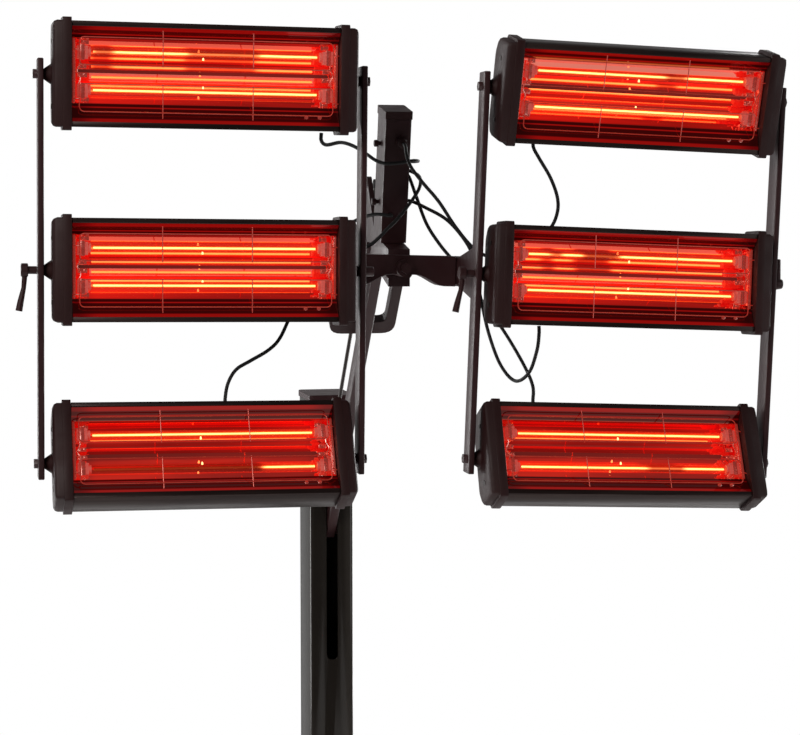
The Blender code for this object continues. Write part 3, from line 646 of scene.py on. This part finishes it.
def cad_finishes():
    for side in SIDES:
        finish_node(f"base_leg_{side}", STAND_PAINT)
        finish_node(f"{side}_clamp_lever", MOULDED)
        for place in ("inner", "outer"):
            finish_node(f"{side}_bank_{place}_bar", FRAME_PAINT, 0.0004)
        for row in ROWS:
            name = f"cassette_{row}_{side}"
            finish_node(f"{name}_housing", EXTRUSION, 0.0005)
            finish_node(f"{name}_cap_left", CAP_MOULDED, 0.0007)
            finish_node(f"{name}_cap_right", CAP_MOULDED, 0.0007)
    for corner in CORNERS:
        finish_node(f"castor_fork_{corner}", ZINC, 0.0004)
        finish_node(f"castor_wheel_{corner}", TYRE)
    finish_node("base_beam", STAND_PAINT, 0.0008)
    finish_node("column", COLUMN_PAINT, 0.0012)
    finish_node("column_cap", FRAME_PAINT)
    finish_node("power_inlet", MOULDED, 0.0008)
    finish_node("lift_arm", FRAME_PAINT, 0.0005)
    finish_node("lift_handle", MOULDED)
    finish_node("level_rod", DARK_STEEL)
    finish_node("head_bracket", FRAME_PAINT, 0.0006)
    finish_node("junction_box", FRAME_PAINT)
    finish_node("junction_box_cap", MOULDED)
    finish_node("cable_gland", MOULDED, 0.0004)
    finish_node("box_knob_upper", MOULDED)
    finish_node("box_knob_lower", MOULDED)
    finish_node("cross_arm", FRAME_PAINT)


# ---------------------------------------------------------------- cassettes


def joint_matrix(name, side):
    """The place of a joint on a bank, turned as the bank is rolled."""
    joint = next(j for j in frame["joints"] if j["name"] == name)
    return Matrix.Translation(joint["pos_m"]) @ Matrix.Rotation(BANK_ROLL[side], 4, "Y")


def cassette_matrix(side, row):
    """The cassette's local frame, from its tilt joint's place and how far it faces up."""
    return joint_matrix(f"{side}_{row}_tilt", side) @ Matrix.Rotation(-FACING_UP[side, row], 4, "X")


def mirrored(line):
    """The line carried on by its own mirror image across z = 0."""
    return line + [Vector((p.x, -p.y)) for p in reversed(line)]


def shifted(line, distance):
    """An open line moved sideways by `distance`, to its left as it runs."""
    points = []
    for i, point in enumerate(line):
        sides = []
        for a, b in ((i - 1, i), (i, i + 1)):
            if 0 <= a and b < len(line):
                run = (line[b] - line[a]).normalized()
                sides.append(Vector((-run.y, run.x)))
        middle = sum(sides, Vector((0, 0))).normalized()
        points.append(point + middle * distance / middle.dot(sides[0]))
    return points


def extrude_outline(bm, outline, start, end):
    """A prism along X on a closed outline of (y, z) points."""
    rings = [[bm.verts.new((x, p.x, p.y)) for p in outline] for x in (start, end)]
    for i in range(len(outline)):
        j = (i + 1) % len(outline)
        bm.faces.new((rings[0][i], rings[0][j], rings[1][j], rings[1][i]))
    bm.faces.new(list(reversed(rings[0])))
    bm.faces.new(rings[1])


def reflector(name, body, matrix):
    """The polished sheet over the extrusion's wings and troughs, with a plate at each end."""
    bm = bmesh.new()
    lip = Vector((FRONT_Y + 0.001, LIP_Z - 0.0008))
    inside = [point + Vector((0, INSIDE_Z)) for point in mirrored([WING, *TROUGH, RIDGE])]
    line = [lip, *inside, Vector((lip.x, -lip.y))]
    near = shifted(line, -REFLECTOR_GAP)
    face = shifted(line, -REFLECTOR_GAP - REFLECTOR_SHEET)
    half = BODY_HALF - REFLECTOR_END_GAP
    extrude_outline(bm, near + face[::-1], -half, half)
    inner = shifted(line, -REFLECTOR_GAP - 1.6 * REFLECTOR_SHEET)[1:-1]
    for end in (-1, 1):
        start = end * (half - REFLECTOR_END_GAP)
        extrude_outline(bm, inner, start, start - end * REFLECTOR_END_GAP)
    piece(f"reflector_{name}", bm, REFLECTOR, body, matrix, sharp=4)


def brightness(side, row, lamp, share):
    """How brightly a filament is lit at a share of its length."""
    level = 1.0
    for start, end, dim in DIM_SPANS.get((side, row, lamp), []):
        past_start = max(0.0, (share - start) / DIM_EDGE + 0.5)
        before_end = max(0.0, (end - share) / DIM_EDGE + 0.5)
        into = min(1.0, past_start, before_end)
        level = min(level, 1.0 + (dim - 1.0) * into)
    return level


def lamps(name, side, row, body, matrix):
    """Each lamp's coil, the halo round it and its quartz tube, dimmer where the lamp isn't fully lit."""
    for kind, radius, half, material, sides in (
        ("filament", FILAMENT_RADIUS, LIT_HALF, FILAMENT, 8),
        ("halo", GLOW_RADIUS, LIT_HALF, GLOW, 10),
        ("quartz", LAMP_RADIUS, LAMP_HALF, QUARTZ, 18),
    ):
        bm = bmesh.new()
        for lamp in (1, -1):
            steps = [i / LAMP_STEPS for i in range(LAMP_STEPS + 1)]
            points = [Vector((half * (2 * t - 1), LAMP_Y, LAMP_Z[lamp])) for t in steps]
            sweep(bm, points, radius, sides)
        obj = piece(f"{kind}_{name}", bm, material, body, matrix)
        lit = obj.data.attributes.new("lit", "FLOAT", "POINT")
        for i, vert in enumerate(obj.data.vertices):
            lamp = 1 if vert.co.z > INSIDE_Z else -1
            share = (vert.co.x / LIT_HALF + 1) / 2
            lit.data[i].value = brightness(side, row, lamp, share)
        if kind == "quartz":
            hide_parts(f"cassette_{name}_lamps")


def tip_off_pips(name, body, matrix):
    """The sealed pip at the middle of each tube."""
    bm = bmesh.new()
    for lamp in (1, -1):
        tip = (-0.004, LAMP_Y - 0.0018, LAMP_Z[lamp] - lamp * (LAMP_RADIUS + 0.0010))
        add_rod(bm, 0.0013, 0.0032, tip, "Z", 10, end_radius=0.0008)
    piece(f"pips_{name}", bm, PIP, body, matrix)


def lamp_holder(ceramics, steel, end, lamp):
    """The block and collar that hold one end of a lamp, the clip round them and its screwed foot."""
    z = LAMP_Z[lamp]
    block_z = z - BLOCK_DROP
    add_block(ceramics, (0.0140, 0.0130, 0.0165), (end * BLOCK_X, BLOCK_Y, block_z), 0.0009)
    add_rod(ceramics, 0.0062, 0.0040, (end * 0.1450, LAMP_Y, z), "X", 18, bevel=0.0006)
    add_block(steel, (0.0052, 0.0007, 0.0190), (end * BLOCK_X, LAMP_Y - 0.0077, block_z), 0.0002)
    for way in (-1, 1):
        arm_at = (end * BLOCK_X, BLOCK_Y, block_z + way * 0.0091)
        add_block(steel, (0.0052, 0.0140, 0.0007), arm_at, 0.0002)
    foot_z = z + lamp * 0.0125
    add_block(steel, (0.0100, 0.0010, 0.0070), (end * 0.1500, LAMP_Y + 0.0030, foot_z), 0.0003)
    add_rod(steel, 0.0020, 0.0022, (end * 0.1500, LAMP_Y + 0.0015, foot_z), "Y", 16, bevel=0.0005)


def end_strips(steel, end):
    """Two tall strips by the end plate, and two short ones with their screws between the lamps."""
    add_block(steel, (0.0028, 0.0010, 0.0780), (end * 0.1640, -0.0300, INSIDE_Z), 0.0003)
    add_block(steel, (0.0012, 0.0120, 0.0700), (end * 0.1624, LAMP_Y + 0.0010, INSIDE_Z), 0.0003)
    for height, width in ((0.006, 0.0100), (-0.005, 0.0120)):
        z = height + INSIDE_Z
        add_block(steel, (width, 0.0010, 0.0060), (end * 0.1530, LAMP_Y + 0.0040, z), 0.0003)
        add_rod(steel, 0.0021, 0.0024, (end * 0.1500, LAMP_Y + 0.0026, z), "Y", 16, bevel=0.0005)


def tail_wire(steel, end):
    """The wire that joins the two lamps at one end."""
    far_x = end * 0.1600
    near_x = end * 0.1560
    route = [
        Vector((far_x, LAMP_Y - 0.0060, LAMP_Z[1] - 0.004)),
        Vector((near_x, LAMP_Y - 0.0050, LAMP_Z[1] - 0.014)),
        Vector((far_x, LAMP_Y - 0.0040, INSIDE_Z)),
        Vector((near_x, LAMP_Y - 0.0050, LAMP_Z[-1] + 0.014)),
        Vector((far_x, LAMP_Y - 0.0060, LAMP_Z[-1] + 0.004)),
    ]
    sweep(steel, smooth_route(route, 0.003), 0.0009, 8)


def lamp_ends(name, body, matrix):
    """Everything that holds the lamps at both ends, and two screws low in the reflector."""
    ceramics = bmesh.new()
    steel = bmesh.new()
    for end in (-1, 1):
        end_strips(steel, end)
        for lamp in (1, -1):
            lamp_holder(ceramics, steel, end, lamp)
        tail_wire(steel, end)
    for x in (0.1250, 0.1420):
        add_rod(steel, 0.0024, 0.0030, (x, -0.0370, -0.0475), "Y", 14, bevel=0.0004)
    piece(f"ceramics_{name}", ceramics, CERAMIC, body, matrix)
    piece(f"clips_{name}", steel, CLIP_STEEL, body, matrix)


def guard_loop(low, high):
    """A long loop of wire with round corners, between two heights."""
    points = []
    for x, z, start in (
        (GUARD_HALF, high, 90),
        (GUARD_HALF, low, 0),
        (-GUARD_HALF, low, -90),
        (-GUARD_HALF, high, -180),
    ):
        inward_x = GUARD_CORNER if x < 0 else -GUARD_CORNER
        inward_z = GUARD_CORNER if z == low else -GUARD_CORNER
        centre = Vector((x + inward_x, GUARD_Y, z + inward_z))
        for step in range(5):
            turn = radians(start - 90 * step / 4)
            points.append(centre + GUARD_CORNER * Vector((cos(turn), 0, sin(turn))))
    return points


def guard(name, body, matrix):
    """An upper and a lower wire loop, each with two bars welded behind it and a hook at each end."""
    bm = bmesh.new()
    for way in (1, -1):
        low, high = sorted((way * GUARD_INNER_Z, way * GUARD_OUTER_Z))
        sweep(bm, guard_loop(low, high), GUARD_RADIUS, 8, True)
        for x in GUARD_BARS_X:
            tip = way * (LIP_Z - 0.001)
            foot = way * (GUARD_INNER_Z - 0.0015)
            bar = [Vector((x, GUARD_Y + 1.6 * GUARD_RADIUS, z)) for z in (foot, (foot + tip) / 2, tip)]
            sweep(bm, bar, GUARD_RADIUS, 8)
    for end in (-1, 1):
        for way in (-1, 1):
            z = way * GUARD_HOOK_Z
            hook = [
                Vector((end * (GUARD_HALF - 0.001), GUARD_Y, z)),
                Vector((end * (GUARD_HALF + 0.004), GUARD_Y + 0.001, z)),
                Vector((end * (GUARD_HALF + 0.0075), GUARD_Y + 0.004, z)),
            ]
            sweep(bm, hook, GUARD_RADIUS, 8)
    piece(f"guard_{name}", bm, WIRE, body, matrix)


def outer_clamp():
    """The right bank's outer clamp: a knob on the bar's outer face with its short lever turned up."""
    matrix = joint_matrix("right_middle_tilt", "right")
    bm = bmesh.new()
    knob_at = (OUTER_BAR_FACE + 0.0066, 0, 0)
    lever_at = (OUTER_BAR_FACE + 0.0060, 0, 0.0185)
    add_rod(bm, 0.0085, 0.0130, knob_at, "X", 24, end_radius=0.0065, bevel=0.0010)
    add_rod(bm, 0.0050, 0.0300, lever_at, "Z", 16, end_radius=0.0036, bevel=0.0010)
    piece("outer_clamp_right", bm, MOULDED, "right_bank", matrix)


def cap_screws(name, body, matrix):
    """Two cross-head screws in the outer face of each end cap."""
    bm = bmesh.new()
    face = BODY_HALF + CAP_GAP + CAP_DEPTH
    y = -0.016
    for end in (-1, 1):
        for z in (-0.040, 0.040):
            add_rod(bm, 0.0034, 0.0016, (end * (face + 0.0001), y, z), "X", 20, bevel=0.0005)
            for size in ((0.0007, 0.0042, 0.0009), (0.0007, 0.0009, 0.0042)):
                add_block(bm, size, (end * (face + 0.0008), y, z), 0.0001)
    piece(f"cap_screws_{name}", bm, DARK_STEEL, body, matrix)


def cassettes():
    for side in SIDES:
        for row in ROWS:
            name = f"{row}_{side}"
            body = f"cassette_{name}"
            matrix = cassette_matrix(side, row)
            reflector(name, body, matrix)
            lamps(name, side, row, body, matrix)
            tip_off_pips(name, body, matrix)
            lamp_ends(name, body, matrix)
            guard(name, body, matrix)
            cap_screws(name, body, matrix)


# ---------------------------------------------------------------- leads


def lead(name):
    """One lead in three lengths, split where it passes the joints between the head, the cross arm and the
    bank.
    """
    points = smooth_route([Vector(at) for at in LEAD_ROUTES[name]], LEAD_SPACING)
    count = len(points) - 1
    cuts = [0, round(count * LEAD_SPLITS[0]), round(count * LEAD_SPLITS[1]), count]
    for part in range(3):
        run = points[cuts[part] : cuts[part + 1] + 1]
        bm = bmesh.new()
        sweep(bm, run, LEAD_RADIUS, 12)
        made = piece(f"lead_{name}_{part + 1}", bm, LEAD_RUBBER, None)
        if part == 2:
            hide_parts(f"lead_{name}")
        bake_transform(made)


# ---------------------------------------------------------------- the whole

cad_finishes()
cassettes()
outer_clamp()
for lead_name in LEAD_ROUTES:
    lead(lead_name)
studio()
